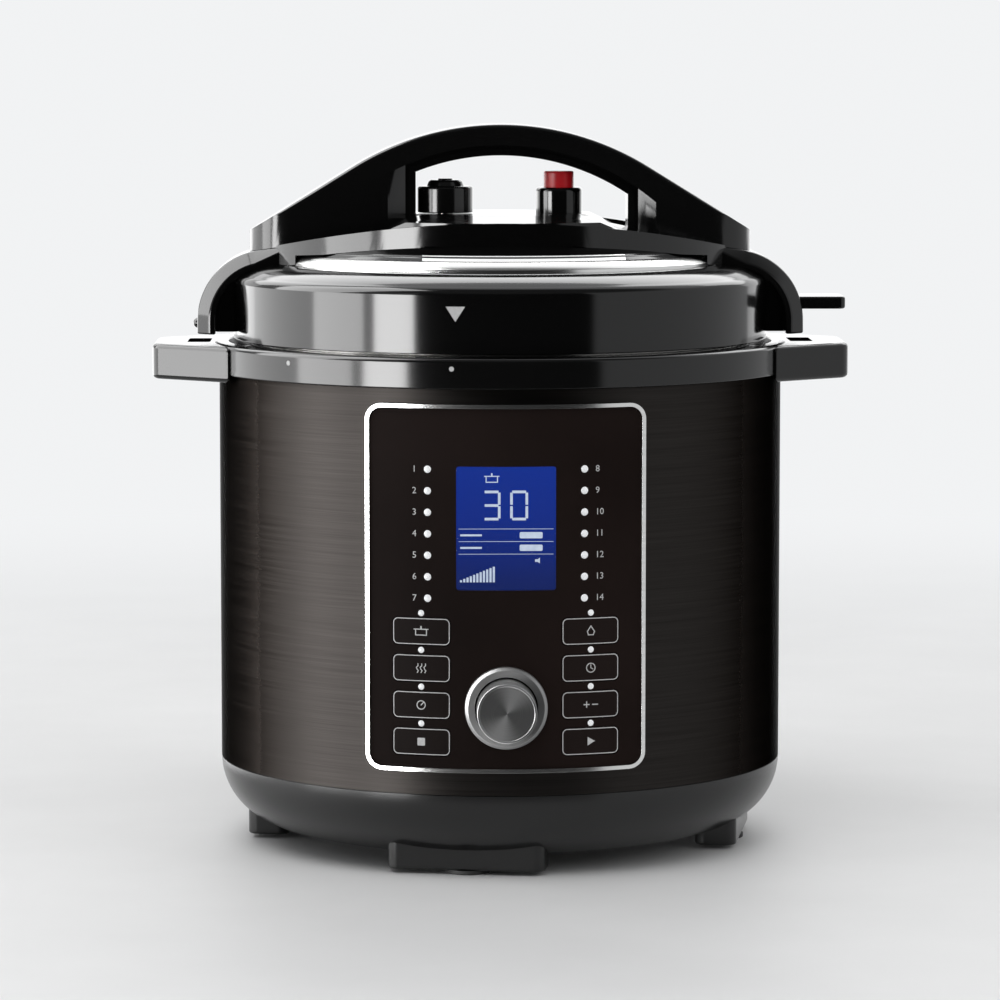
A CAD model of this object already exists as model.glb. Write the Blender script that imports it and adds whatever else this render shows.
# %% [markdown]
# # An electric pressure cooker
# The cooker arrives as a set of engineering solids, each with its real size and place.
# This lesson dresses them: every surface that shows is modelled again with smooth curves and
# soft edges, and gets a finish with its own grain, gloss and print. Nothing is moved or resized.
# Each new piece rides on the same moving body as the solid that it stands for.

# %% Load the solids
import math

import bpy
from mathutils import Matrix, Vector


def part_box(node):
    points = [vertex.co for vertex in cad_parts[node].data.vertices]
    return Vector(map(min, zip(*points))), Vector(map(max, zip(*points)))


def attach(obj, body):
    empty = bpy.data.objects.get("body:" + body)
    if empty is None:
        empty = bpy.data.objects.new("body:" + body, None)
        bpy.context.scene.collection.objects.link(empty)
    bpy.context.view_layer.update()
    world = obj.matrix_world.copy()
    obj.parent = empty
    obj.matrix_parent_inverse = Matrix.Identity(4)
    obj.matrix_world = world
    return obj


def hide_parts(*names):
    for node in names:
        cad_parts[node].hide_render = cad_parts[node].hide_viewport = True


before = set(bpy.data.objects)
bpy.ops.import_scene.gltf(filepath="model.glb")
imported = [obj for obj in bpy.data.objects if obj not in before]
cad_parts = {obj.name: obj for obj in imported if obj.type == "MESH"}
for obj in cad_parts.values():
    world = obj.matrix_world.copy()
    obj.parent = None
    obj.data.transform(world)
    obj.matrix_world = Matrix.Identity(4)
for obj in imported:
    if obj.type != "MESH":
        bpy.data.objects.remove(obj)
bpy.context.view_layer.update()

mm = 0.001
same_point = 0.002 * mm
hair = 0.05

# %% [markdown]
# ## Where the camera stands
# The picture was taken with a long lens from a little above the rim, so the walls look almost
# straight and the lid shows only a sliver of its top. A long lens is kept here too, because a
# wide one would bend the rim into a smile. The camera is turned a touch to the left.

# %% Camera
camera_distance = 2157.6 * mm
camera_height = 384.6 * mm
camera_pitch = math.radians(5.858)
camera_turn = math.radians(-1.2)
sensor_width = 36.0
focal_share = 4.451

camera_data = bpy.data.cameras.new("camera")
camera_data.sensor_width = sensor_width
camera_data.lens = sensor_width * focal_share
camera_data.clip_end = 50
camera = bpy.data.objects.new("camera", camera_data)
camera.location = (
    math.sin(camera_turn) * camera_distance, -math.cos(camera_turn) * camera_distance, camera_height)
camera.rotation_euler = (math.pi / 2 - camera_pitch, 0, camera_turn)
bpy.context.scene.collection.objects.link(camera)
bpy.context.scene.camera = camera
bpy.context.scene.view_settings.view_transform = "Standard"
print("lens", round(camera_data.lens, 1), "mm")

# %% [markdown]
# ## From a line to a solid
# Every shape starts as a line of points. The line is spun into a turned part, or filled and pushed into
# a flat one. Modifiers then cut, join and soften the solids. Shapes are written in millimetres, and
# become metres where a line is drawn.

# %% Select, edit and draw
def deselect():
    """Leave edit mode and select nothing, so that an operator acts on new work only."""
    if bpy.context.mode != "OBJECT":
        bpy.ops.object.mode_set(mode="OBJECT")
    bpy.ops.object.select_all(action="DESELECT")


def pick(obj):
    """Make one object the only selected and active one."""
    deselect()
    obj.select_set(True)
    bpy.context.view_layer.objects.active = obj
    return obj


def edit(obj):
    """Open one object with all of its points selected."""
    pick(obj)
    bpy.ops.object.mode_set(mode="EDIT")
    bpy.ops.mesh.select_all(action="SELECT")
    return obj


def metres(point):
    """A point in metres from one in mm."""
    return Vector([c * mm for c in point])


def trace(points):
    """Draw a line: merge a tiny plane into its first point, then extrude that to each next one."""
    points = [metres(p) for p in points]
    deselect()
    bpy.ops.mesh.primitive_plane_add(size=mm, location=points[0])
    bpy.ops.object.transform_apply(location=True)
    obj = edit(bpy.context.object)
    bpy.ops.mesh.merge(type="CENTER")
    for here, there in zip(points, points[1:]):
        bpy.ops.mesh.extrude_vertices_move(TRANSFORM_OT_translate={"value": there - here})
    bpy.ops.mesh.select_all(action="SELECT")
    return obj


def clean(obj):
    """Merge doubled points, turn the faces outwards and leave edit mode."""
    bpy.ops.mesh.select_all(action="SELECT")
    bpy.ops.mesh.remove_doubles(threshold=same_point)
    bpy.ops.mesh.normals_make_consistent(inside=False)
    bpy.ops.object.mode_set(mode="OBJECT")
    return obj


print("line helpers ready; points closer than", same_point / mm, "mm are merged")

# %% Turned solids and round corners
def turned(points, steps=256):
    """Spin a line of (radius, z) points once round the cooker's axis."""
    obj = trace([(r, 0, z) for r, z in points])
    bpy.ops.mesh.spin(steps=steps, angle=2 * math.pi, center=(0, 0, 0), axis=(0, 0, 1))
    return clean(obj)


def bent_corner(before, corner, after, radius, parts=6):
    """Points of an arc that rounds one corner of a line."""
    corner = Vector(corner)
    back = Vector(before) - corner
    ahead = Vector(after) - corner
    half = back.angle(ahead) / 2
    reach = min(radius / math.tan(half), 0.499 * back.length, 0.499 * ahead.length)
    radius = reach * math.tan(half)
    start = corner + back.normalized() * reach
    end = corner + ahead.normalized() * reach
    middle = corner + (back.normalized() + ahead.normalized()).normalized() * radius / math.sin(half)
    points = []
    for i in range(parts + 1):
        spoke = (start - middle).normalized().slerp((end - middle).normalized(), i / parts)
        points.append(tuple(middle + spoke * radius))
    return points


def soft_line(corners, loop=True, parts=6):
    """A line through (u, v, corner radius) points, with each corner rounded by its radius."""
    points = []
    count = len(corners)
    for i, (u, v, radius) in enumerate(corners):
        if radius and (loop or 0 < i < count - 1):
            before = corners[i - 1][:2]
            after = corners[(i + 1) % count][:2]
            points += bent_corner(before, (u, v), after, radius, parts)
        else:
            points.append((u, v))
    return points + points[:1] if loop else points


print("a rounded corner has", len(bent_corner((0, 0), (1, 0), (1, 1), 0.2)), "points")

# %% Pushed solids and modifiers
def prism(points, push):
    """Fill a closed line of 3-D points and push the face along a direction."""
    obj = trace(points[:-1])
    bpy.ops.mesh.edge_face_add()
    bpy.ops.mesh.extrude_region_move(TRANSFORM_OT_translate={"value": metres(push)})
    return clean(obj)


def apply_modifier(obj, kind, **settings):
    """Add a modifier with its settings, and apply it."""
    pick(obj)
    modifier = obj.modifiers.new(kind.lower(), kind)
    for name, value in settings.items():
        setattr(modifier, name, value)
    bpy.ops.object.modifier_apply(modifier=modifier.name)
    return obj


def combine(obj, operation, *tools):
    """Join tools to a piece, or cut it with them, and throw the tools out."""
    for tool in tools:
        apply_modifier(obj, "BOOLEAN", operation=operation, object=tool, solver="EXACT")
        bpy.data.objects.remove(tool)
    return obj


def soften(obj, width, segments=3, angle=35):
    """Round every edge that is sharper than an angle."""
    return apply_modifier(
        obj, "BEVEL", width=width * mm, segments=segments, limit_method="ANGLE",
        angle_limit=math.radians(angle), harden_normals=False)


def arc(centre, radius, start, end, parts=16):
    """Points (u, v) on an arc between two angles in degrees."""
    turns = [math.radians(start + (end - start) * i / parts) for i in range(parts + 1)]
    return [(centre[0] + radius * math.cos(t), centre[1] + radius * math.sin(t)) for t in turns]


print("half a turn has", len(arc((0, 0), 1, 0, 180)), "points")

# %% [markdown]
# ## Floor and soft boxes
# Gloss black has almost no colour of its own: what you see in it is the studio. Photographers
# shape black plastic with long soft boxes at one side, a dark space behind the camera and a pale
# wall behind the object, so the middle of a round body stays deep and its flank carries clean bands
# of light. Two plain lamps light the colours here. The other boxes show only in gloss, so they
# draw those bands and leave every colour as it is written.

# %% Floor and lamps
floor_width = 12.0
aim_height = 0.2
deselect()
bpy.ops.mesh.primitive_plane_add(size=floor_width, location=(0, 0, 0))
floor = bpy.context.object
floor.name = "floor"
floor.visible_shadow = False


def soft_box(name, turn, width, radiance, lift=-6, distance=3.0, height=0.95, gloss=True):
    """A rectangular lamp that faces the cooker; it lights the colours, or it only shows in gloss."""
    data = bpy.data.lights.new(name, "AREA")
    data.shape = "RECTANGLE"
    data.size = width
    data.size_y = height
    data.energy = radiance * width * height * math.pi
    lamp = bpy.data.objects.new(name, data)
    turn, lift = math.radians(turn), math.radians(lift)
    target = Vector((0, 0, aim_height))
    outwards = Vector((math.sin(turn) * math.cos(lift), -math.cos(turn) * math.cos(lift), math.sin(lift)))
    lamp.location = target + outwards * distance
    lamp.rotation_mode = "QUATERNION"
    lamp.rotation_quaternion = outwards.to_track_quat("Z", "Y")
    lamp.visible_camera = False
    lamp.visible_glossy = gloss
    lamp.visible_diffuse = not gloss
    bpy.context.scene.collection.objects.link(lamp)


soft_box("key", turn=-30, lift=58, distance=2.4, width=2.4, height=1.6, radiance=2.1, gloss=False)
soft_box("fill", turn=60, lift=35, distance=2.6, width=2.0, height=2.0, radiance=0.9, gloss=False)
soft_box("strip_near", turn=-46, width=0.95, radiance=16.0)
soft_box("strip_gap", turn=-57.5, width=0.3, radiance=1.6)
soft_box("strip_wide", turn=-73, width=1.38, radiance=8.4)
soft_box("strip_far", turn=-121, width=4.2, radiance=2.6)
soft_box("wall_back", turn=180, lift=6, width=7.0, height=2.0, radiance=1.0)
soft_box("top_back", turn=180, lift=41, width=6.0, height=1.6, radiance=3.0)
soft_box("high_left", turn=-92, lift=36, width=2.4, height=4.0, radiance=6.5)
print("lamps:", [lamp.name for lamp in bpy.data.lights])

# %% [markdown]
# ## Writing shader maths as sums
# A procedural finish is a small calculation done at every point of a surface. Wiring it node by
# node hides the idea, so one class wraps a socket and lets it be used in ordinary Python
# expressions: `1 - mask` or `noise * 0.2 + 0.3` each add the Math node that they need.

# %% Sockets as numbers
class Value:
    """A socket that can be used in sums; each operation adds one Math node."""

    def __init__(self, paint, socket):
        self.paint = paint
        self.socket = socket

    def math(self, operation, *terms):
        """Add one Math node with its terms."""
        return self.paint.node("ShaderNodeMath", {"operation": operation}, dict(enumerate(terms)))

    def __add__(self, other):
        return self.math("ADD", self, other)

    def __radd__(self, other):
        return self.math("ADD", other, self)

    def __sub__(self, other):
        return self.math("SUBTRACT", self, other)

    def __rsub__(self, other):
        return self.math("SUBTRACT", other, self)

    def __mul__(self, other):
        return self.math("MULTIPLY", self, other)

    def __rmul__(self, other):
        return self.math("MULTIPLY", other, self)

    def __truediv__(self, other):
        return self.math("DIVIDE", self, other)

    def __pow__(self, other):
        return self.math("POWER", self, other)


print("a Value can be added, subtracted, multiplied, divided and raised")

# %% One class for every material
class Paint:
    """One material: a Principled shader with plain values, and nodes that feed some of its sockets."""

    def __init__(self, name, **plain):
        self.name = name
        self.material = bpy.data.materials.new(name)
        self.material.use_nodes = True
        self.tree = self.material.node_tree
        self.shader = self.tree.nodes["Principled BSDF"]
        for socket, value in plain.items():
            self.put(self.shader.inputs[socket.replace("_", " ").title().replace("Ior", "IOR")], value)

    def put(self, socket, value):
        """Link a Value to a socket, or set a plain number or colour on it."""
        if isinstance(value, Value):
            self.tree.links.new(value.socket, socket)
        elif isinstance(value, (tuple, list)) and len(value) == 3 and socket.type == "RGBA":
            socket.default_value = (*value, 1)
        else:
            socket.default_value = value

    def node(self, kind, settings=None, inputs=None, output=0):
        """Add a node: its settings first, then its sockets; give back one output."""
        made = self.tree.nodes.new(kind)
        for name, value in (settings or {}).items():
            if name == "stops":
                for stop, (place, colour) in zip(self.ramp_stops(made, len(value)), value):
                    stop.position = place
                    stop.color = (*colour, 1)
            else:
                setattr(made, name, value)
        for name, value in (inputs or {}).items():
            self.put(made.inputs[name], value)
        return Value(self, made.outputs[output])

    def ramp_stops(self, made, count):
        """The stops of a colour ramp, with more added where needed."""
        stops = made.color_ramp.elements
        while len(stops) < count:
            stops.new(1.0)
        return stops

    def feed(self, socket, value):
        """Send a Value to one of the shader's sockets."""
        self.put(self.shader.inputs[socket], value)

    def place(self, scale=(1, 1, 1), offset=(0, 0, 0)):
        """Object coordinates, stretched and shifted."""
        where = self.node("ShaderNodeTexCoord", output="Object")
        return self.node("ShaderNodeMapping", None, {"Vector": where, "Scale": scale, "Location": offset})

    def noise(self, scale, detail, stretch=(1, 1, 1)):
        """Soft random values between 0 and 1."""
        return self.node("ShaderNodeTexNoise", None, {
            "Vector": self.place(stretch), "Scale": scale, "Detail": detail})

    def colours(self, value, *stops):
        """A colour for each value, from a ramp of (place, colour) stops."""
        return self.node("ShaderNodeValToRGB", {"stops": stops}, {"Fac": value})

    def mottle(self, value, deep, pale, half=0.2, socket="Base Color"):
        """Colour a socket from deep to pale, as a value goes from half below 0.5 to half above it."""
        self.feed(socket, self.colours(value, (0.5 - half, deep), (0.5 + half, pale)))

    def bump(self, height, strength, distance):
        """Raise and lower the surface in the shading, by a distance in mm."""
        self.feed("Normal", self.node("ShaderNodeBump", None, {
            "Height": height, "Strength": strength, "Distance": distance * mm}))

    def step(self, value, low, high):
        """A soft switch: 0 before the first value and 1 after the second."""
        return self.node("ShaderNodeMapRange", {"interpolation_type": "SMOOTHSTEP"}, {
            "Value": value, "From Min": low, "From Max": high})

    def ray(self, kind):
        """1 for one kind of ray, such as those that leave the camera, and 0 for the rest."""
        return self.node("ShaderNodeLightPath", output=f"Is {kind} Ray")

    def axes(self, vector):
        """The x, y and z of a vector."""
        return [self.node("ShaderNodeSeparateXYZ", None, {"Vector": vector}, axis) for axis in "XYZ"]


def gray(level):
    """A neutral colour."""
    return (level, level, level)


print("paint box ready")

# %% [markdown]
# ## Pale floor and background
# The floor is a plain pale sheet with a faint tooth, so that the cooker's shadow has something to fall
# on. Further off it fades into the background for the camera, which hides the horizon. Gloss sees only
# its nearest part. The world is pale for the camera, dimmer as a light, and in gloss it is the studio:
# dark in front, grey at the sides, and paler above and behind.

# %% Floor paint
background = (0.93, 0.94, 0.95)
background_level = 0.95
floor_paint = Paint("pale_floor", roughness=0.6)
floor_paint.mottle(floor_paint.noise(9.0, 4), gray(0.76), gray(0.8))
floor_paint.bump(floor_paint.noise(600.0, 2), 0.05, 0.2)
floor.data.materials.append(floor_paint.material)

floor_x, floor_y, _ = floor_paint.axes(floor_paint.place())
away = (floor_x * floor_x + floor_y * floor_y) ** 0.5
backdrop = floor_paint.node("ShaderNodeEmission", None, {"Color": background, "Strength": background_level})
far_off = floor_paint.node("ShaderNodeMixShader", None, {
    0: floor_paint.ray("Camera") * floor_paint.step(away, 0.4, 1.5),
    1: Value(floor_paint, floor_paint.shader.outputs[0]), 2: backdrop})
surface = floor_paint.node("ShaderNodeMixShader", None, {
    0: floor_paint.ray("Glossy") * floor_paint.step(away, 0.20, 0.36),
    1: far_off, 2: floor_paint.node("ShaderNodeBsdfTransparent")})
floor_paint.put(floor_paint.tree.nodes["Material Output"].inputs["Surface"], surface)
print("floor paint:", len(floor_paint.tree.nodes), "nodes")

# %% World
world = bpy.data.worlds.new("studio")
world.use_nodes = True
bpy.context.scene.world = world


class Sky(Paint):
    """The world, written with the same sums as a paint."""

    def __init__(self, world):
        self.tree = world.node_tree
        self.shader = self.tree.nodes["Background"]


sky = Sky(world)
way_x, way_y, way_z = sky.axes(sky.node("ShaderNodeTexCoord", output="Generated"))
ahead = (0 - way_y) / (way_x * way_x + way_y * way_y) ** 0.5
dark_half_turn = math.radians(39)
dark_front = sky.step(ahead, math.cos(dark_half_turn + 0.03), math.cos(dark_half_turn - 0.03))
around_level = (1 - dark_front) * 0.7 + 0.02
above_level = sky.step(way_y, -0.1, 0.25) * 1.2 + 0.15
height = sky.step(way_z, 0.45, 0.7)
gloss_level = around_level + height * (above_level - around_level)
light_level = 0.42
level = light_level + sky.ray("Glossy") * (gloss_level - light_level)
seen = level.math("MAXIMUM", sky.ray("Camera"), sky.ray("Transmission"))
sky.feed("Color", background)
sky.feed("Strength", level + seen * (background_level - level))
print("studio lit")

# %% [markdown]
# ## Finishes
# Each finish is written once. Moulded plastic has a faint orange peel and a haze of handling that
# varies its gloss. Brushed steel has hairlines that run round the sleeve, so its noise is stretched
# a hundredfold along Z. Spun metal has rings about the knob's own axis.

# %% Moulded plastics
def moulded(name, level, gloss, haze, peel, tint=(1, 1, 1), shine=0.5):
    """Black moulded plastic: a base level, a gloss range and a height of orange peel in mm."""
    paint = Paint(name, specular_ior_level=shine)
    handling = paint.noise(9.0, 5)
    deep, pale = ([level * share * t for t in tint] for share in (0.8, 1.25))
    paint.mottle(handling, deep, pale, 0.15)
    paint.feed("Roughness", handling * haze + gloss)
    paint.bump(paint.noise(170.0, 2), 0.25, peel)
    return paint


lid_black = moulded("lid_black", 0.0022, 0.07, 0.07, 0.008)
rim_black = moulded("rim_black", 0.0024, 0.08, 0.08, 0.010)
handle_black = moulded("handle_black", 0.003, 0.10, 0.10, 0.012)
bowl_black = moulded("bowl_black", 0.005, 0.16, 0.12, 0.020)
panel_film = moulded("panel_film", 0.0095, 0.55, 0.08, 0.006, (1.35, 0.90, 0.80), 0.02)
key_film = moulded("key_film", 0.0105, 0.50, 0.08, 0.010, (1.30, 0.92, 0.84), 0.03)
component_black = moulded("component_black", 0.02, 0.35, 0.15, 0.030)
foot_rubber = moulded("foot_rubber", 0.022, 0.62, 0.2, 0.080)
float_red = moulded("float_red", 0.78, 0.28, 0.12, 0.010, (1.0, 0.014, 0.026), 0.3)
silicone = moulded("silicone", 0.62, 0.38, 0.14, 0.020, (1, 0.99, 0.96))
print("plastics:", [m.name for m in bpy.data.materials])

# %% Metals
def brushed(name, deep, pale, low, spread, **plain):
    """Metal with hairlines: two sizes of stretched noise set its colour, gloss and relief."""
    paint = Paint(name, metallic=1.0, **plain)
    hairlines, streaks = paint.noise(1.0, 2, (22, 22, 2600)), paint.noise(1.0, 3, (11, 11, 620))
    grain = hairlines * 0.55 + streaks * 0.45
    paint.mottle(grain, deep, pale, 0.16)
    paint.feed("Roughness", grain * spread + low)
    paint.bump(grain, 0.2, 0.02)
    return paint


sleeve_steel = brushed(
    "sleeve_steel", (0.026, 0.0236, 0.0222), (0.037, 0.0337, 0.0317), 0.40, 0.10,
    anisotropic=0.7, anisotropic_rotation=0.25, specular_tint=gray(0.06))
bare_steel = brushed("bare_steel", (0.56, 0.55, 0.53), (0.68, 0.67, 0.65), 0.16, 0.14)
bright_trim = brushed("bright_trim", (0.74, 0.74, 0.73), (0.84, 0.84, 0.83), 0.14, 0.10)
fastener_steel = brushed("fastener_steel", (0.50, 0.49, 0.47), (0.62, 0.61, 0.59), 0.25, 0.15)

cast_heater = Paint("cast_heater", metallic=0.85)
casting = cast_heater.noise(240.0, 4)
cast_heater.mottle(casting, gray(0.30), gray(0.42))
cast_heater.feed("Roughness", casting * 0.25 + 0.38)
cast_heater.bump(casting, 0.3, 0.05)


def spun(name, axis_z, deep, pale, low):
    """Metal turned on a lathe: rings about its axis, and two bright fans where they catch the light."""
    paint = Paint(name, metallic=1.0)
    x, _, z = paint.axes(paint.place(offset=(0, 0, -axis_z * mm)))
    radius = (x * x + z * z) ** 0.5
    ring = paint.node("ShaderNodeTexNoise", {"noise_dimensions": "1D"}, {
        "W": radius, "Scale": 2200, "Detail": 3})
    fan = x.math("ARCTAN2", x, z) * 2 - 0.75
    glow = (fan.math("COSINE", fan) * 0.5 + 0.5) ** 2
    paint.mottle(glow * 0.75 + ring * 0.25, deep, pale, 0.35)
    paint.feed("Roughness", ring * 0.16 + low)
    paint.bump(ring, 0.22, 0.02)
    return paint


print("metals ready")

# %% [markdown]
# Lit and clear surfaces come last. The display is a blue backlight behind a clear window, brighter at
# its top. The window and the condensation cup are real transparent solids, so their edges catch light.

# %% Lit, printed and clear finishes
lamp_white = Paint("lamp_white", roughness=0.3, emission_strength=0.25)
frost = lamp_white.noise(900.0, 2)
lamp_white.mottle(frost, (0.70, 0.72, 0.74), (0.82, 0.83, 0.84))
lamp_white.mottle(frost, gray(0.8), gray(1.0), socket="Emission Color")

print_white = Paint("print_white", roughness=0.5)
print_white.mottle(print_white.noise(700.0, 2), gray(0.50), gray(0.60))

backlit = {"base_color": gray(0), "roughness": 0.5, "specular_ior_level": 0.0, "emission_strength": 1.0}
display_low, display_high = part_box("display_window")
display_blue = Paint("display_blue", **backlit)
_, _, glow_z = display_blue.axes(display_blue.place())
rise = (glow_z - display_low.z) / (display_high.z - display_low.z)
display_blue.feed("Emission Color", display_blue.colours(
    rise + display_blue.noise(60.0, 2) * 0.06,
    (0.05, (0.0105, 0.0205, 0.118)), (0.6, (0.0100, 0.0290, 0.235)), (0.98, (0.0100, 0.033, 0.270))))

display_ink = Paint("display_ink", **backlit)
display_ink.mottle(
    display_ink.noise(500.0, 2), (0.50, 0.58, 0.72), (0.60, 0.68, 0.80), socket="Emission Color")


def clear(name, tint, low, bend):
    """Clear plastic or glass with a faint haze; the last number is how much it bends light."""
    paint = Paint(name, transmission_weight=1.0, ior=bend)
    haze = paint.noise(40.0, 3)
    paint.mottle(haze, tint, gray(0.96))
    paint.feed("Roughness", haze * 0.04 + low)
    return paint


display_glass = clear("display_glass", (0.90, 0.92, 0.95), 0.02, 1.08)
clear_plastic = clear("clear_plastic", (0.86, 0.88, 0.88), 0.04, 1.46)

circuit_green = Paint("circuit_green", roughness=0.4, coat_weight=0.3)
traces = circuit_green.noise(160.0, 5, (1, 3, 1))
circuit_green.feed("Base Color", circuit_green.colours(
    traces, (0.42, (0.012, 0.09, 0.035)), (0.5, (0.03, 0.16, 0.06)), (0.58, (0.012, 0.10, 0.04))))
circuit_green.feed("Roughness", traces * 0.3 + 0.25)
print("materials:", len(bpy.data.materials))

# %% [markdown]
# ## More modelling helpers
# Turned parts come from a spun line, and flat parts from a pushed outline. Everything else is one of
# those two cut or joined with another. A piece is finished by one call that names it, paints it,
# smooths it and tells the frame which body it rides on and which solids it stands for.

# %% Outlines
def arc3(start, middle, end, parts=12):
    """Points on the arc that goes through three points."""
    (ax, ay), (bx, by), (cx, cy) = start, middle, end
    d = 2 * (ax * (by - cy) + bx * (cy - ay) + cx * (ay - by))
    a, b, c = ax * ax + ay * ay, bx * bx + by * by, cx * cx + cy * cy
    ux = (a * (by - cy) + b * (cy - ay) + c * (ay - by)) / d
    uy = (a * (cx - bx) + b * (ax - cx) + c * (bx - ax)) / d
    radius = math.hypot(ax - ux, ay - uy)
    first = math.atan2(ay - uy, ax - ux)
    via = (math.atan2(by - uy, bx - ux) - first) % (2 * math.pi)
    last = (math.atan2(cy - uy, cx - ux) - first) % (2 * math.pi)
    sweep = last if via < last else last - 2 * math.pi
    turns = [first + sweep * i / parts for i in range(parts + 1)]
    return [(ux + radius * math.cos(t), uy + radius * math.sin(t)) for t in turns]


def closed(points):
    """A line that comes back to its start."""
    return list(points) + [points[0]]


def placed(outline, x=0.0, y=0.0, side=1):
    """The same outline moved, and mirrored left to right where the side is -1."""
    return [(side * (x + u), y + v) for u, v in outline]


def oblong(width, height, corner, parts=6):
    """A rectangle with round corners, centred on zero, in mm."""
    x, z = width / 2, height / 2
    return soft_line([(-x, -z, corner), (x, -z, corner), (x, z, corner), (-x, z, corner)], True, parts)


def circle(radius, parts=32):
    """A closed circle of (u, v) points in mm."""
    return closed(arc((0, 0), radius, 0, 360, parts)[:-1])


print("a circle has", len(circle(1)), "points")

# %% Pushed and turned solids
def about_z(point, turn):
    """A point turned round the cooker's axis; a positive turn carries the front to the right."""
    c, s = math.cos(math.radians(turn)), math.sin(math.radians(turn))
    return (c * point[0] - s * point[1], s * point[0] + c * point[1], point[2])


def front_prism(outline, near, far, z, turn=0.0, x=0.0):
    """Push an (x, z) outline in mm from one distance in front of the axis to another."""
    points = [about_z((x + u, -near, z + v), turn) for u, v in outline]
    return prism(points, about_z((0, near - far, 0), turn))


def plan_prism(outline, bottom, top, turn=0.0):
    """Push an (x, y) outline in mm from one height to another."""
    return prism([about_z((u, v, bottom), turn) for u, v in outline], (0, 0, top - bottom))


def side_prism(outline, half):
    """Push an (x, z) outline in mm to both sides of the middle."""
    return prism([(u, -half, v) for u, v in outline], (0, 2 * half, 0))


def tube(outer, inner, bottom, top):
    """A plain ring of wall, in mm."""
    return turned(closed([(outer, bottom), (outer, top), (inner, top), (inner, bottom)]))


print("the front turned by 90 degrees:", [round(c) for c in about_z((0, -1, 0), 90)])

# %% Join, move and turn
def join(objects):
    """Make one object of several."""
    pick(objects[0])
    for obj in objects:
        obj.select_set(True)
    bpy.ops.object.join()
    return bpy.context.object


def moved(obj, x=0.0, y=0.0, z=0.0):
    """Move the mesh, in mm, and leave the object at the origin."""
    edit(obj)
    bpy.ops.transform.translate(value=metres((x, y, z)))
    bpy.ops.object.mode_set(mode="OBJECT")
    return obj


def swung(obj, turn, axis="Z"):
    """Turn the mesh about a main axis by degrees; without a window the operator turns the other way."""
    edit(obj)
    bpy.ops.transform.rotate(
        value=math.radians(-turn), orient_axis=axis, orient_type="GLOBAL", center_override=(0, 0, 0))
    bpy.ops.object.mode_set(mode="OBJECT")
    return obj


def tipped_forward(obj, z):
    """Turn a spun solid so that its axis points to the front, at a height in mm."""
    return moved(swung(obj, 90, "X"), z=z)


print("moving helpers ready")

# %% Cut, add and finish
def cut(obj, *tools):
    """Cut tools out of a piece."""
    return combine(obj, "DIFFERENCE", *tools)


def add(obj, *tools):
    """Join solids to a piece."""
    return combine(obj, "UNION", *tools)


def keep(obj, *tools):
    """Keep only what lies inside the tools."""
    return combine(obj, "INTERSECT", *tools)


def done(obj, name, paint, body, nodes, angle=40):
    """Name, paint and smooth a piece, and hang it on its body in place of its solids.

    Edges sharper than the angle stay crisp. Without a slot of its own, a piece has its paint's."""
    obj.name = name
    obj.data.name = name
    obj.data.materials.clear()
    obj.data.materials.append(paint.material)
    pick(obj)
    bpy.ops.object.shade_smooth_by_angle(angle=math.radians(angle))
    apply_modifier(obj, "WEIGHTED_NORMAL", keep_sharp=True)
    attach(obj, body)
    if nodes:
        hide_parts(*nodes)
    print(name, len(obj.data.polygons), "faces")


print("finishing helpers ready")

# %% [markdown]
# ## The body
# The sleeve is a thin rolled tube with a window for the panel and a hole for the mains inlet. The
# bowl under it is a quarter-round of moulded plastic with four foot blocks grown out of it, and each
# block stands on a rubber pad.

# %% Sleeve
body_radius = 136.0
sleeve_inner = 135.2
sleeve_bottom, sleeve_top = 40.0, 228.0
panel_z = 136.0
seam = 0.25
window_width, window_height, window_corner = 126.8, 167.2, 6.4
inlet_width, inlet_height, inlet_corner, inlet_z = 28.0, 21.0, 3.0, 58.0

sleeve = turned(soft_line([
    (body_radius, sleeve_bottom + seam, 0.3), (body_radius, sleeve_top - seam, 0.3),
    (sleeve_inner, sleeve_top - seam, 0), (sleeve_inner, sleeve_bottom + seam, 0)], True, 3))
cut(sleeve,
    front_prism(oblong(window_width, window_height, window_corner), 68, 140, panel_z),
    front_prism(oblong(inlet_width, inlet_height, inlet_corner), -112, -140, inlet_z))
done(sleeve, "sleeve", sleeve_steel, "base", ["outer_housing"], 32)

# %% Bowl with its foot blocks
bowl_floor = 8.0
bowl_inside = 10.5
bowl_centre = 104.0
bowl_outer_round, bowl_inner_round = 32.0, 29.5
bowl_lip = 46.0
outer_curve = arc((bowl_centre, sleeve_bottom), bowl_outer_round, -90, 0, 20)
inner_curve = arc((bowl_centre, sleeve_bottom), bowl_inner_round, 0, -90, 20)
bowl = turned([(0, bowl_floor)] + outer_curve + [
    (sleeve_inner - hair, sleeve_bottom), (sleeve_inner - hair, bowl_lip),
    (bowl_centre + bowl_inner_round, bowl_lip)] + inner_curve + [(0, bowl_inside)])
foot_angles = [-9, 81, 171, 261]
foot_radius = 109.0
foot_bottom, foot_top = 2.0, 24.0
foot_plan = placed(oblong(74.0, 20.0, 5.0), y=-foot_radius)
for turn in foot_angles:
    foot = soften(plan_prism(foot_plan, foot_bottom, foot_top, turn), 1.2, 3, 50)
    keep(foot, plan_prism(circle(body_radius - 0.5, 128), 0, 30))
    cut(foot, turned(
        [(0, bowl_inside), (bowl_centre, bowl_inside)] + inner_curve[::-1][1:] + [(0, sleeve_bottom)]))
    add(bowl, foot)
vent_count, vent_radius = 10, 62
vent_plan = placed(oblong(3.5, 30, 1.7, 4), y=-vent_radius)
vents = [plan_prism(vent_plan, 7, 12, 360 // vent_count * i) for i in range(vent_count)]
cut(bowl, join(vents))
boss_x, boss_y, boss_top = 50, 33, 18.5
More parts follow.
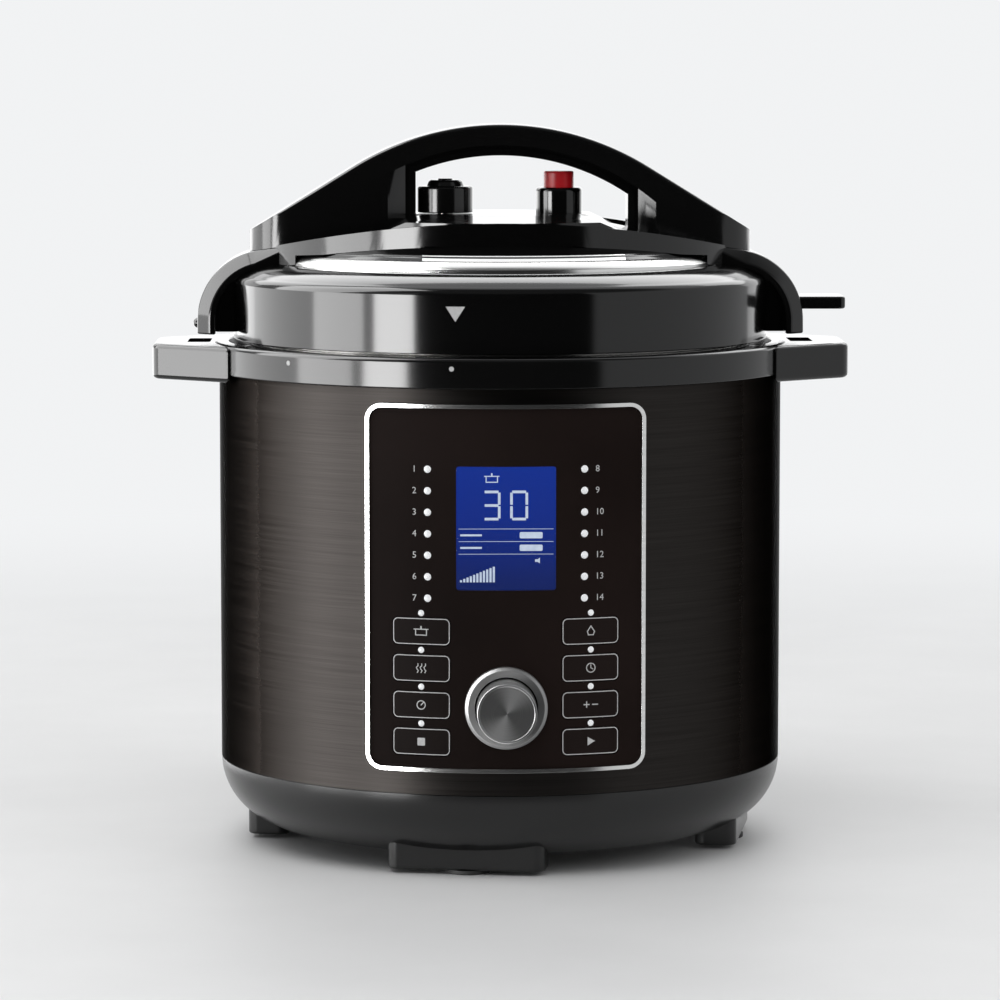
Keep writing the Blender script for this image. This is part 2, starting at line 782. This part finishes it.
for x in (-boss_x, boss_x):
    for y in (-boss_y, boss_y):
        add(bowl, plan_prism(placed(circle(5, 24), x, y), 9, boss_top))
done(bowl, "bowl", bowl_black, "base", ["base_bowl"])

# %% [markdown]
# A rubber pad stands under each foot block, with a stud that plugs into it. One turned line gives both,
# so a pad is spun for each block on the cooker's axis and then moved to its place.

# %% Rubber pads
pads = []
for turn in foot_angles:
    pad = turned(soft_line([
        (0, 0, 0), (10.5, 0, 0.6), (10.5, 2.0, 0), (4, 2.0, 0), (4, 6.0, 0), (0, 6.0, 0)], False, 4), 32)
    here = about_z((0, -foot_radius, 0), turn)
    pads.append(moved(pad, here[0], here[1]))
done(join(pads), "pads", foot_rubber, "base", ["rubber_feet"], 32)

# %% [markdown]
# The rim closes the sleeve and carries the lid's drip channel. Its two ears are flared plates with a
# hollow below and a slot on top, where the lid's tab is parked while the cooker is open.

# %% Rim with ears
rim_radius = 139.5
rim_bottom, rim_top = 228.0, 242.0
rim_lip, channel_floor = 222, 236
rim = turned(soft_line([
    (sleeve_inner - hair, rim_lip, 0), (sleeve_inner - hair, rim_bottom, 0), (rim_radius, rim_bottom, 0.5),
    (rim_radius, rim_top, 2.2), (131.5, rim_top, 0.8), (130.5, channel_floor, 0.6), (121, channel_floor, 0.6),
    (121, 241, 0.5), (117.5, 241, 0.5), (117.5, 232, 0), (132.7, 232, 0), (132.7, rim_lip, 0)], True, 5))
ear_bottom, ear_top = 224.5, 241.5
ear_reach = 167.4
ear_plan = soft_line([(129, -54, 0), (ear_reach, -24, 9), (ear_reach, 24, 9), (129, 54, 0)], True, 8)
ear_slot, ear_slot_x = oblong(11, 28, 2, 5), 145.5
ear_pocket, ear_pocket_x, ear_pocket_top = oblong(23.4, 40, 3, 4), 151.7, 236.5
for side in (1, -1):
    ear = soften(plan_prism(placed(ear_plan, side=side), ear_bottom, ear_top), 2.4, 5, 60)
    cut(ear, plan_prism(circle(135.95, 256), ear_bottom - 1, ear_top + 1))
    cut(ear, plan_prism(placed(ear_pocket, ear_pocket_x, side=side), ear_bottom - 1, ear_pocket_top))
    add(rim, ear)
    cut(rim, plan_prism(placed(ear_slot, ear_slot_x, side=side), ear_bottom - 1, ear_top + 2))
cut(rim, front_prism(circle(2.5, 24), -126, -142, channel_floor))
done(rim, "rim", rim_black, "base", ["top_rim"], 38)

# %% [markdown]
# ## The control panel
# The panel is a slice of a slightly larger tube than the sleeve, so it is cut from one: an outline is
# pushed through a ring of wall, and what lies in both is kept. One bright frame holds it. The display,
# the lamps and the keys are flush with it, and sit in openings with a hairline gap round them.

# %% Frame and panel
panel_outer, panel_inner = 137.0, 134.0
panel_bottom, panel_top = 50.8, 221.2
key_rows = [116.2 - 17.05 * row for row in range(4)]
lamp_rows = [191.0 - 9.9 * row for row in range(7)]
key_angle = math.degrees(math.asin(39.0 / panel_outer))
lamp_angle = math.degrees(math.asin(36.0 / panel_outer))
key_lamp_rows = [z + 8.45 for z in key_rows]
knob_z = 81.5
display_z = 164.0

bezel = keep(tube(138.2, body_radius, panel_bottom - 2, panel_top + 2),
             front_prism(oblong(129.2, 169.6, 7.6, 8), 68, 145, panel_z))
cut(bezel, front_prism(oblong(125.6, 166.0, 5.8, 8), 60, 150, panel_z))
soften(bezel, 0.55, 3, 50)
done(bezel, "bezel", bright_trim, "base", ["control_bezel"])

panel = keep(tube(panel_outer, panel_inner, panel_bottom, panel_top),
             front_prism(oblong(125.5, 165.9, 5.75, 8), 68, 145, panel_z))
openings = [front_prism(oblong(45.7, 56.9, 1.2, 3), 116, 139, display_z)]
for outline, near, far, angle, heights in (
        (oblong(28.2, 13.3, 2.95, 5), 126, 140, key_angle, key_rows),
        (circle(1.76, 20), 131, 139, lamp_angle, lamp_rows),
        (circle(1.52, 20), 131, 139, key_angle, key_lamp_rows)):
    openings += [front_prism(outline, near, far, z, side * angle) for side in (-1, 1) for z in heights]
openings.append(front_prism(circle(4.8, 32), 116, 140, knob_z))
cut(panel, join(openings))
for x in (-60.2, 60.2):
    for z in (panel_bottom + 11, panel_top - 11):
        add(panel, keep(front_prism(circle(2.5, 20), 118, 136, z, 0, x), tube(135.5, 60, 40, 230)))
done(panel, "panel", panel_film, "base", ["control_panel"])

# %% [markdown]
# The lamps are small lenses that stand a little proud of the panel. Each is spun about the z axis, tipped
# to face the front and swung round to its column, which is simpler than drawing it in its place.

# %% Lamps
lamps = []
for side in (-1, 1):
    spots = [(lamp_angle, z, 1.75) for z in lamp_rows]
    spots += [(key_angle, z, 1.5) for z in key_lamp_rows]
    for angle, z, radius in spots:
        lens = turned(soft_line([
            (0, panel_inner, 0), (radius, panel_inner, 0), (radius, panel_outer + 0.12, 0.5),
            (0, panel_outer + 0.3, 0)], False, 4), 24)
        lamps.append(swung(tipped_forward(lens, z), side * angle))
done(join(lamps), "lamps", lamp_white, "base", ["indicator_lenses"])

# %% [markdown]
# Each key is a film pad with a pale printed outline and a plain pictogram. Prints are drawn flat, with
# distance along the panel as x, and then bent round the cooker's axis, which keeps their strokes even.

# %% Flat prints
ink_height = 0.05


def flat_shape(outline, x=0.0, z=0.0, high=ink_height):
    """A printed patch: an (x, z) outline in mm on the plane y = 0, as thick as a film of ink."""
    return prism([(x + u, 0, z + v) for u, v in outline], (0, -high, 0))


def flat_stroke(points, width, x=0.0, z=0.0):
    """A printed line through (x, z) points in mm, made of one patch for each run."""
    runs = []
    for (ax, az), (bx, bz) in zip(points, points[1:]):
        length = math.hypot(bx - ax, bz - az)
        ux, uz = (bx - ax) / length * width / 2, (bz - az) / length * width / 2
        runs.append(flat_shape(closed([
            (ax - ux - uz, az - uz + ux), (bx + ux - uz, bz + uz + ux),
            (bx + ux + uz, bz + uz - ux), (ax - ux + uz, az - uz - ux)]), x, z))
    return join(runs)


def flat_ring(outer, inner, x=0.0, z=0.0):
    """A printed band between two outlines with as many points each."""
    band = edit(join([trace([(x + u, 0, z + v) for u, v in line]) for line in (outer, inner)]))
    bpy.ops.mesh.remove_doubles(threshold=same_point)
    bpy.ops.mesh.bridge_edge_loops()
    bpy.ops.mesh.extrude_region_move(TRANSFORM_OT_translate={"value": metres((0, -ink_height, 0))})
    return clean(band)


def flat_text(words, size, x, z, align):
    """Printed figures, as a thin solid."""
    deselect()
    bpy.ops.object.text_add(location=(x * mm, 0, z * mm), rotation=(math.pi / 2, 0, 0))
    obj = bpy.context.object
    obj.data.body = words
    obj.data.size = size * mm
    obj.data.align_x = align
    obj.data.align_y = "CENTER"
    obj.data.extrude = ink_height * mm / 2
    obj.data.resolution_u = 3
    bpy.ops.object.convert(target="MESH")
    bpy.ops.object.transform_apply(location=True, rotation=True)
    return moved(bpy.context.object, y=-ink_height / 2)


def wrapped(obj, radius, turn=0.0):
    """Bend a flat print round the cooker's axis at a radius, and turn it to its place."""
    reach = [v.co.x for v in obj.data.vertices]
    span = max(reach) - min(reach)
    apply_modifier(obj, "SIMPLE_DEFORM", deform_method="BEND", deform_axis="Z",
                   angle=span / (radius * mm))
    return swung(moved(obj, y=-radius), turn)


def dense(points, step=2.0):
    """The same closed line with extra points on its long runs, so that it can bend."""
    result = []
    for a, b in zip(points, points[1:]):
        parts = max(1, int(math.dist(a, b) / step))
        result += [tuple(p + (q - p) * i / parts for p, q in zip(a, b)) for i in range(parts)]
    return closed(result)


print("print helpers ready")

# %% Keys with pictograms
def pictogram(x, z, strokes=(), dial=None, patch=None):
    """A sign at a place: a ring as wide as a dial, a filled patch, and strokes of (width, points)."""
    pieces = [flat_ring(circle(dial, 24), circle(dial - 0.45, 24), x, z)] if dial else []
    if patch:
        pieces.append(flat_shape(patch, x, z))
    return pieces + [flat_stroke(points, width, x, z) for width, points in strokes]


wisp = [(0.5 * math.sin(2.2 * t), t - 2) for t in (0, 0.8, 1.6, 2.4, 3.2, 4.0)]
signs = {
    "pot": {"strokes": [
        (0.45, [(-2.6, 0.9), (-2.6, -1.7), (2.6, -1.7), (2.6, 0.9)]), (0.45, [(-3.3, 1.0), (3.3, 1.0)]),
        (0.7, [(0, 1.2), (0, 2.1)])]},
    "flame": {"strokes": [
        (0.45, [(0, 2.3), (-1.7, -0.2), (-1.2, -1.8), (1.2, -1.8), (1.7, -0.2), (0, 2.3)])]},
    "clock": {"dial": 2.3, "strokes": [(0.42, [(0, 1.3), (0, 0), (1.0, -0.6)])]},
    "steam": {"strokes": [(0.42, placed(wisp, x)) for x in (-1.8, 0, 1.8)]},
    "play": {"patch": closed([(-1.5, -2.0), (2.1, 0), (-1.5, 2.0)])},
    "stop": {"patch": oblong(3.6, 3.6, 0.4, 2)},
    "plus_minus": {"strokes": [
        (0.5, [(-3.2, 0), (-0.8, 0)]), (0.5, [(-2, -1.2), (-2, 1.2)]), (0.5, [(0.9, 0), (3.3, 0)])]},
    "dial": {"dial": 2.2, "strokes": [(0.5, [(0, 0), (1.1, 1.2)])]}}
columns = {"left": ["pot", "steam", "dial", "stop"], "right": ["flame", "clock", "plus_minus", "play"]}
for side, column in columns.items():
    turn = key_angle if side == "right" else -key_angle
    for row, (z, sign) in enumerate(zip(key_rows, column), 1):
        name = f"key_{side}_{row}"
        pad = keep(tube(panel_outer, panel_inner - 0.3, z - 8, z + 8),
                   front_prism(oblong(27.5, 12.6, 2.6, 6), 120, 145, z, turn))
        soften(pad, 0.2, 2, 50)
        flange = keep(tube(panel_inner - 0.3, panel_inner - 2.3, z - 9, z + 9),
                      front_prism(oblong(29.5, 14.6, 2.6, 6), 120, 145, z, turn))
        done(join([pad, flange]), name + "_pad", key_film, name, [name])
        border = flat_ring(
            dense(oblong(27.0, 12.1, 2.3, 6)), dense(oblong(26.2, 11.3, 1.9, 6)), 0, z)
        mark = wrapped(join([border] + pictogram(0, z, **signs[sign])), panel_outer, turn)
        done(mark, name + "_print", print_white, name, [], 30)

# %% [markdown]
# The lamps stand in two columns of seven. A plain number from 1 to 14 stands beside each of them, on the
# side away from the display. The figures are text that is turned into a mesh, as thin as a film of ink.

# %% Lamp numbers
numbers = []
label_size, label_gap = 4.2, 5.2
label_reach = math.radians(lamp_angle) * panel_outer + label_gap
for row, z in enumerate(lamp_rows, 1):
    numbers.append(flat_text(str(row), label_size, -label_reach, z, "RIGHT"))
    numbers.append(flat_text(str(row + len(lamp_rows)), label_size, label_reach, z, "LEFT"))
done(wrapped(join(numbers), panel_outer), "lamp_numbers", print_white, "base", [], 30)

# %% [markdown]
# The display is a window over a lit module. The window follows the panel's curve, so it is cut from a ring
# of wall as the panel is. The module behind it is flat, and its figures are thin films on its front.

# %% Display
window = keep(tube(panel_outer - hair, panel_inner, 130, 195),
              front_prism(oblong(45.5, 56.7, 1.1, 4), 116, 140, display_z))
soften(window, 0.25, 2, 50)
done(window, "window", display_glass, "base", ["display_window"])

lcd_front = 131.3
holder = soften(front_prism(oblong(50.7, 61.9, 1.2, 3), 118, lcd_front, display_z), 0.3, 2, 50)
done(holder, "display_holder", display_blue, "base", ["display_module"])

digit_high, digit_wide, stroke = 12.5, 7.0, 1.5
digit_z, pot_z, speaker_z, bars_z = (display_z + rise for rise in (10.2, 22.6, -15.2, -25.2))
top, middle, bottom = ([(-1, level), (1, level)] for level in (1, 0, -1))
left_upper, right_upper = ([(side, 1), (side, 0)] for side in (-1, 1))
left_lower, right_lower = ([(side, 0), (side, -1)] for side in (-1, 1))
three = [top, middle, bottom, right_upper, right_lower]
zero = [top, bottom, left_upper, right_upper, left_lower, right_lower]


def digit(segments, x, z):
    """One seven-segment figure with a gap between its bars."""
    bars = []
    for segment in segments:
        (ax, az), (bx, bz) = [(u * digit_wide / 2, v * digit_high / 2) for u, v in segment]
        gap = 0.62 * stroke / math.hypot(bx - ax, bz - az)
        start = (ax + (bx - ax) * gap, az + (bz - az) * gap)
        end = (bx - (bx - ax) * gap, bz - (bz - az) * gap)
        bars.append(flat_stroke([start, end], stroke * 0.8, x, z))
    return bars


lit = digit(three, -6.6, digit_z) + digit(zero, 6.0, digit_z)
lit += pictogram(-6.5, pot_z, **signs["pot"])
for drop in (-0.6, -6.4, -12.2):
    lit.append(flat_stroke([(-21.6, drop), (21.6, drop)], 0.22, 0, display_z))
for drop in (-3.5, -9.3):
    lit.append(flat_shape(oblong(10.5, 2.9, 0.5, 2), 11.5, display_z + drop))
    lit.append(flat_stroke([(-20.5, drop), (-11.5, drop)], 0.9, 0, display_z))
for bar in range(11):
    high = 1.0 + bar * 0.62
    lit.append(flat_shape(
        oblong(1.0, high, 0.1, 1), -20.6 + bar * 1.5, bars_z + high / 2))
speaker = closed([(-1.2, -0.6), (0, -0.6), (1.0, -1.4), (1.0, 1.4), (0, 0.6), (-1.2, 0.6)])
lit.append(flat_shape(speaker, 14.5, speaker_z))
done(moved(join(lit), y=-lcd_front), "display_figures", display_ink, "base", [], 30)

# %% [markdown]
# The selector is turned from solid metal. Its rings catch the light in two opposite fans, which is how
# you tell spun metal from plain grey plastic. A bright collar sits round it on the panel.

# %% Selector and collar
knob_metal = spun("knob_metal", knob_z, gray(0.32), gray(0.92), 0.26)
collar_metal = spun("collar_metal", knob_z, gray(0.34), gray(0.52), 0.36)
knob = turned(soft_line([
    (0, 145.6, 0), (3, 145.6, 0), (3, 138.6, 0), (13.75, 138.6, 0.4), (13.75, 157, 0.9), (12.7, 157, 0.15),
    (12.5, 156.8, 0.15), (0, 156.8, 0)], False, 6), 128)
done(tipped_forward(knob, knob_z), "knob", knob_metal, "knob", ["control_knob"], 32)
collar = turned(soft_line([
    (14.55, 120, 0), (19, 120, 0), (19, 139.6, 0.6), (17.6, 141, 0.5), (14.55, 141, 0.3)], True, 4), 128)
tipped_forward(collar, knob_z)
cut(collar, turned([(0, 40), (panel_outer, 40), (panel_outer, 130), (0, 130)]))
done(collar, "collar", collar_metal, "base", ["knob_ring"])

# %% [markdown]
# ## The lid
# The cover is one spun skin: a straight skirt, a soft corner and a shoulder. A bright half-round ring
# lies in the groove inside the shoulder, and the dome rises from there to a flat plateau for the valves.

# %% Cover, ring and dome
lid_bottom = 243.0
skirt_radius = 129.0
steam_x, float_x = -26.5, 28.4
shoulder = arc3((129, 270), (128.12, 272.12), (126, 273.75), 8) + arc3(
    (126, 273.75), (118, 277.4), (110, 279), 16)[1:]
shoulder_inside = arc3((110, 277), (117, 275.4), (124, 271.75), 12) + arc3(
    (124, 271.75), (126.12, 270.12), (127, 268), 6)[1:]
cover = turned(closed(
    [(skirt_radius, lid_bottom + 0.4)] + shoulder
    + [(106.4, 279), (106, 278.6), (106, 277), (84, 277), (84, 275), (106, 275)] + shoulder_inside
    + [(127, lid_bottom), (128.6, lid_bottom)]))
for turn in (45, 135, 225, 315):
    here = about_z((0, -91, 0), turn)
    add(cover, plan_prism(placed(circle(5, 24), here[0], here[1]), 268.05, 276))
done(cover, "cover", lid_black, "lid", ["lid_cover"])

ring = turned(closed(
    [(98.05, 277.05), (103.8, 277.05)] + arc3((103.8, 280.2), (101.2, 282.6), (98.05, 284), 12)))
done(ring, "ring", bright_trim, "lid", ["lid_trim_ring"])

crown = arc3((98, 285), (74, 293.2), (50, 298.6), 28)
dome_skin = bent_corner((98, 277), (98, 285), crown[5], 7.0, 8) + crown[5:] + soft_line(
    [(50, 298.6, 0), (48, 299.6, 1.5), (41, 303, 3), (0, 303, 0)], False, 5)[1:]
crown_inside = [(r, z - 2) for r, z in reversed(crown[1:])]
dome = turned([(94, 277.05), (98, 277.05)] + dome_skin + [(0, 301), (40.6, 301), (47.6, 297.6)]
              + crown_inside[:-3] + [(94, 283.4), (94, 277.05)])
cut(dome, plan_prism(placed(circle(4.3, 32), steam_x), 290, 310),
    plan_prism(placed(circle(3.3, 32), float_x), 290, 310))
done(dome, "dome", lid_black, "lid", ["lid_dome"])

# %% [markdown]
# A narrow bead runs round the dome's foot. Between the handle's legs it carries the bright finish, and
# the rest is black. One spun line is cut into spans by x, so the two finishes meet without a step.

# %% Bead at the dome's foot
bead_line = soft_line([
    (98.2, 283.0, 0), (98.2, 283.8, 0.4), (93.8, 286.9, 0.4), (93.8, 285.2, 0), (96.8, 283.0, 0)], True, 3)
bead_left, bead_right = -38.0, 57.0


def bead(*spans):
    """Pieces of the bead between pairs of x values in mm."""
    pieces = []
    for low, high in spans:
        block = plan_prism(closed([(low, -110), (high, -110), (high, 110), (low, 110)]), 280, 290)
        pieces.append(keep(turned(bead_line), block))
    return join(pieces)


done(bead((bead_left, bead_right)), "bead_bright", bright_trim, "lid", [])
done(bead((-110, bead_left), (bead_right, 110)), "bead_black", lid_black, "lid", [])

# %% [markdown]
# A saddle carries the handle. Its middle is a boat-shaped plate on the dome, with a low floor inside a
# raised lip. From each point of the plate a bevelled band bends over the shoulder and hangs down past
# the skirt, with a thin web behind it. Where the saddle meets the dome it is cut to the dome's own
# shape, so it sits on it without a gap.

# %% Saddle
arm_centre, arm_spring = 112.0, 252.0
arm_outer, arm_inner = 34.0, 25.0
bridge_angle = 9.5
bridge_rise = math.tan(math.radians(bridge_angle))
bridge_end, bridge_wall = 36.0, 9.125
bend = 90 - bridge_angle


def arm_bend(radius, start, end, parts):
    """Points on the right arm's bend, between two angles in degrees."""
    return arc((arm_centre, arm_spring), radius, start, end, parts)


shoulder_point = arm_bend(arm_outer, bend, bend, 1)[0]


def bridge_top(x):
    """Height of the straight part's top."""
    return shoulder_point[1] + (shoulder_point[0] - x) * bridge_rise


def lid_form():
    """The closed shape of cover, ring and dome together, grown by a hair."""
    skin = [(0, lid_bottom - 2), (skirt_radius + hair, lid_bottom - 2)]
    skin += [(r + hair, z + hair) for r, z in shoulder]
    skin += [(104, 279 + hair), (104, 284 + hair), (98 + hair, 285 + hair)]
    skin += [(r, z + hair) for r, z in crown[1:]] + [(48, 299.6 + hair), (41, 303 + hair), (0, 303 + hair)]
    return turned(skin)


plate_half, plate_end, plate_lip, plate_crown = 83.0, 116.3, 3.0, 301.1
plate_round = (plate_end ** 2 + plate_half ** 2) / (2 * plate_half)


def plate_plan(inset):
    """Plan of the plate, pointed at both ends: two arcs that meet on the x axis."""
    half = plate_half - inset
    end = math.sqrt((plate_round - inset) ** 2 - (plate_round - plate_half) ** 2)
    back, front = (arc3((s * end, 0), (0, s * half), (-s * end, 0), 64)[:-1] for s in (1, -1))
    return closed(back + front)


def both_sides(right):
    """A front-view line from the right end to the left one, mirrored from its right half."""
    return right + [(-u, v) for u, v in reversed(right)]


floor_line = both_sides([shoulder_point, (bridge_end, bridge_top(bridge_end))])
under_line = both_sides([
    arm_bend(arm_inner, bend, bend, 1)[0], (bridge_end, bridge_top(bridge_end) - bridge_wall)])
lip_line = arc3(shoulder_point, (0, plate_crown), floor_line[-1], 48)
above_floor = closed(floor_line + [(-shoulder_point[0], 310), (shoulder_point[0], 310)])
plate = keep(side_prism(closed(lip_line + under_line[::-1]), plate_half + 1),
             plan_prism(plate_plan(0), 270, 310))
cut(plate, keep(side_prism(above_floor, plate_half), plan_prism(plate_plan(plate_lip), 270, 312)),
    side_prism(above_floor, 19.3))
cut(plate, lid_form())
soften(plate, 0.5, 3, 60)
plateau = turned([(0, 290), (82.4, 290), (82.4, 301.0), (41, 302.95), (0, 302.95)])
keep(plateau, plan_prism(plate_plan(0.6), 270, 310))
keep(plateau, side_prism(closed(both_sides(
    [(58, 280), (58, bridge_top(58)), (46, 300.9), (37, 303)])), plate_half))
cut(plateau, lid_form())
plate = join([plate, plateau])
print("plate", len(plate.data.polygons), "faces")

# %% Arms
band_line = [(137, 245.5), (146, 245.5)] + arm_bend(arm_outer, 0, bend, 24)
band_end = 98.0
band_line += [(band_end, bridge_top(band_end) - 0.2), (band_end, bridge_top(band_end) - bridge_wall + 0.2)]
band_line += arm_bend(arm_inner, bend, 0, 20)
web_line = [(128, 245.6), (141.5, 245.6)] + arm_bend(29.5, 0, 80, 16) + [(110, 279), (128, 273)]
arm_half, arm_bevel = 22, 6.0


def bevel_outside(band):
    """Cut the long outer edges of an arm back at a slant, from its foot to the end of its bend."""
    edit(band)
    bpy.ops.mesh.select_mode(type="EDGE")
    bpy.ops.mesh.select_all(action="DESELECT")
    bpy.ops.object.mode_set(mode="OBJECT")
    points = band.data.vertices
    for edge in band.data.edges:
        ends = [points[i].co / mm for i in edge.vertices]
        on_side = all(abs(abs(p.y) - arm_half) < 0.01 for p in ends) and ends[0].y * ends[1].y > 0
        outside = all(
            math.hypot(abs(p.x) - arm_centre, max(p.z - arm_spring, 0)) > arm_outer - 0.01
            and abs(p.x) > shoulder_point[0] - 0.01 for p in ends)
        edge.select = on_side and outside
    bpy.ops.object.mode_set(mode="EDIT")
    bpy.ops.mesh.bevel(offset=arm_bevel * mm, segments=1)
    bpy.ops.mesh.select_mode(type="VERT")
    return clean(band)


arms = []
for side in (1, -1):
    band = bevel_outside(side_prism(closed(placed(band_line, side=side)), arm_half))
    soften(band, 0.9, 3, 40)
    add(band, side_prism(closed(placed(web_line, side=side)), 1.5))
    arms.append(cut(band, lid_form()))
add(arms[0], soften(plan_prism(placed(oblong(29.8, 26, 3, 6), 151.9), 257, 263), 1.2, 3, 50))
deselect()
bpy.ops.mesh.primitive_uv_sphere_add(
    segments=32, ring_count=16, radius=2.6 * mm, location=(-146 * mm, 0, 250 * mm))
bpy.ops.object.transform_apply(location=True)
add(arms[1], bpy.context.object)
done(join([plate] + arms), "arms", lid_black, "lid", ["lid_arms"], 38)

# %% [markdown]
# The handle is an arch with pointed ends. It could be swept along a curve, but a front view that is pushed
# through and then trimmed by a plan gives the crisp noses. The finger gap is cut out with a flare on both
# faces, and a fine groove beside it marks the edge of the lining.

# %% Handle
crown_centre, crown_round = 211.0, 135.0
crown_half, crown_shoulder = 71.0, 325.82
end_x, end_z = 121.2, 294.81
half_width = 19.0
start_angle = math.degrees(math.atan2(crown_shoulder - crown_centre, crown_half))
arch_line = [(-end_x, 277), (end_x, 277), (end_x, end_z)]
arch_line += arc((0, crown_centre), crown_round, start_angle, 180 - start_angle, 48) + [(-end_x, end_z)]
handle = soften(side_prism(closed(arch_line), half_width), 2.0, 4, 60)
nose_right = arc3((99, -19), (115.65, -12.54), (end_x, 0), 10)
nose_right += arc3((end_x, 0), (115.65, 12.54), (99, 19), 10)[1:]
nose_left = [(-u, -v) for u, v in nose_right]
keep(handle, plan_prism(closed(nose_right + nose_left), 270, 350))


def under_grip(left, right, radius):
    """Front view of an opening: straight sides and a round top, in mm."""
    grip_centre = 221.0
    ends = [math.degrees(math.acos(x / radius)) for x in (right, left)]
    return closed([(left, 270), (right, 270)] + arc((0, grip_centre), radius, *ends, 48))


lining_left, lining_right, lining_radius = -40.8, 61.3, 110.0
lining_half, lining_proud, groove = 12.4, 5.0, 1.9


def finger_gap(grow):
    """The opening inside the lining, grown by some mm."""
    return under_grip(lining_left - grow, lining_right + grow, lining_radius + grow)


cut(handle, side_prism(finger_gap(0), 40))
for face in (-1, 1):
    flare = plan_prism([(u, face * v) for u, v in closed([
        (-54.4, 30), (74.5, 30), (74.5, 19), (lining_right + lining_proud, lining_half),
        (lining_left - lining_proud, lining_half), (-54.4, 19)])], 265, 350)
    cut(handle, keep(flare, side_prism(under_grip(-60, 80, lining_radius + lining_proud), 40)))
under = [(-146, 240), (146, 240), (146, arm_spring)] + arm_bend(arm_outer + hair, 0, bend, 24)
under += [(bridge_end, bridge_top(bridge_end) + hair), (-bridge_end, bridge_top(bridge_end) + hair)]
under += [(-u, v) for u, v in reversed(arm_bend(arm_outer + hair, 0, bend, 24))]
under.append((-146, arm_spring))
cut(handle, side_prism(closed(under), 40), lid_form())
soften(handle, 0.6, 3, 40)
for near, far in ((lining_half + 0.2, lining_half - 1.6), (1.6 - lining_half, -lining_half - 0.2)):
    slot = front_prism(finger_gap(lining_proud), near, far, 0)
    cut(slot, front_prism(finger_gap(lining_proud - groove), near + 1, far - 1, 0))
    cut(handle, slot)
done(handle, "handle", handle_black, "lid", ["lid_handle"], 38)

# %% [markdown]
# On the plateau stand the steam release and the float. The steam cap is a heavy turned knob that
# rocks loose on its pipe. The red float stands up inside its collar while there is pressure.

# %% Valves
steam = turned(soft_line([
    (0, 313, 0), (4.05, 313, 0), (4.05, 303.3, 0), (13.3, 303.3, 0.4), (13.3, 316, 1.3), (9, 316, 0.4),
    (8.2, 318.2, 0.5), (7.2, 319, 0.4), (3.6, 319, 0.2), (3.4, 319.7, 0.4), (0, 319.7, 0)], False, 6), 96)
done(moved(steam, steam_x), "steam_cap", handle_black, "steam_valve", ["steam_valve_knob"], 32)
guard = turned(soft_line([
    (7.55, 303.05, 0), (11.15, 303.05, 0), (11.15, 315.4, 2.2), (7.55, 315.4, 0.6)], True, 6), 96)
done(moved(guard, float_x), "float_guard", lid_black, "lid", ["float_collar"], 32)
float_line = soft_line([
    (0, 260, 0), (3, 260, 0), (3, 309.3, 0), (7.25, 309.3, 0), (7.25, 323.2, 0.9), (0, 323.2, 0)], False, 6)
done(moved(turned(float_line, 64), float_x), "float", float_red, "float", ["float_valve"], 32)

# %% [markdown]
# A white arrow on the skirt points at one of two dots on the rim: closed, in the middle, and open, to
# the left. All three are films of ink, drawn flat and bent round the axis like the panel's prints.

# %% Marks
closed_turn, open_turn = -10.3, -45.9
arrow = flat_shape(dense(closed([(-4.5, 3.5), (4.5, 3.5), (0, -3.5)])), 0, 261.5, 3 * ink_height)
done(wrapped(arrow, skirt_radius, closed_turn), "arrow", print_white, "lid", [], 30)
dots = [wrapped(flat_shape(circle(1.15, 20), 0, 237.2), rim_radius, turn)
        for turn in (closed_turn, open_turn)]
done(join(dots), "dots", print_white, "base", [], 30)

# %% [markdown]
# ## Inside, and what stays as it came
# The pot and the seal come out in daily use, so they get soft edges too. The cup, the boards, the screws
# and the heater are right as they are, and only need a finish.

# %% Pot and seal
pot = turned(soft_line([
    (0, 92.5, 0), (111.5, 92.5, 12), (111.5, 252, 0.8), (118.5, 252, 0.7), (118.5, 253.6, 0.7),
    (110.3, 253.6, 0.8), (110.3, 93.7, 10.8), (0, 93.7, 0)], False, 10), 192)
done(pot, "pot", bare_steel, "pot", ["inner_pot"])
seal = turned(soft_line([
    (109, 253.95, 0.8), (123.5, 253.95, 1.2), (123.5, 266.45, 1.2), (109, 266.45, 0.8), (109, 262.3, 0.6),
    (119.5, 262.3, 0.6), (119.5, 258.1, 0.6), (109, 258.1, 0.6)], True, 4), 192)
done(seal, "seal", silicone, "lid_seal", ["sealing_ring"])

# %% Finishes for the solids that stay
kept = {
    bare_steel: [
        "outer_pot", "inner_lid_pan", "seal_rack", "steam_pipe", "anti_block_shield", "temperature_sensor"],
    fastener_steel: ["handle_screws", "lid_screws", "sensor_spring", "sensor_guide", "knob_shaft"],
    cast_heater: ["heating_plate"],
    silicone: ["float_gasket"],
    bowl_black: ["power_inlet"],
    rim_black: ["collector_rail"],
    clear_plastic: ["condensation_collector"],
    circuit_green: ["control_board", "power_board"],
    component_black: ["key_switches", "encoder", "pressure_switch", "thermal_fuse"]}
for paint, names in kept.items():
    for name in names:
        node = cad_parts[name]
        node.data.materials.clear()
        node.data.materials.append(paint.material)
print("kept solids:", sum(len(names) for names in kept.values()))
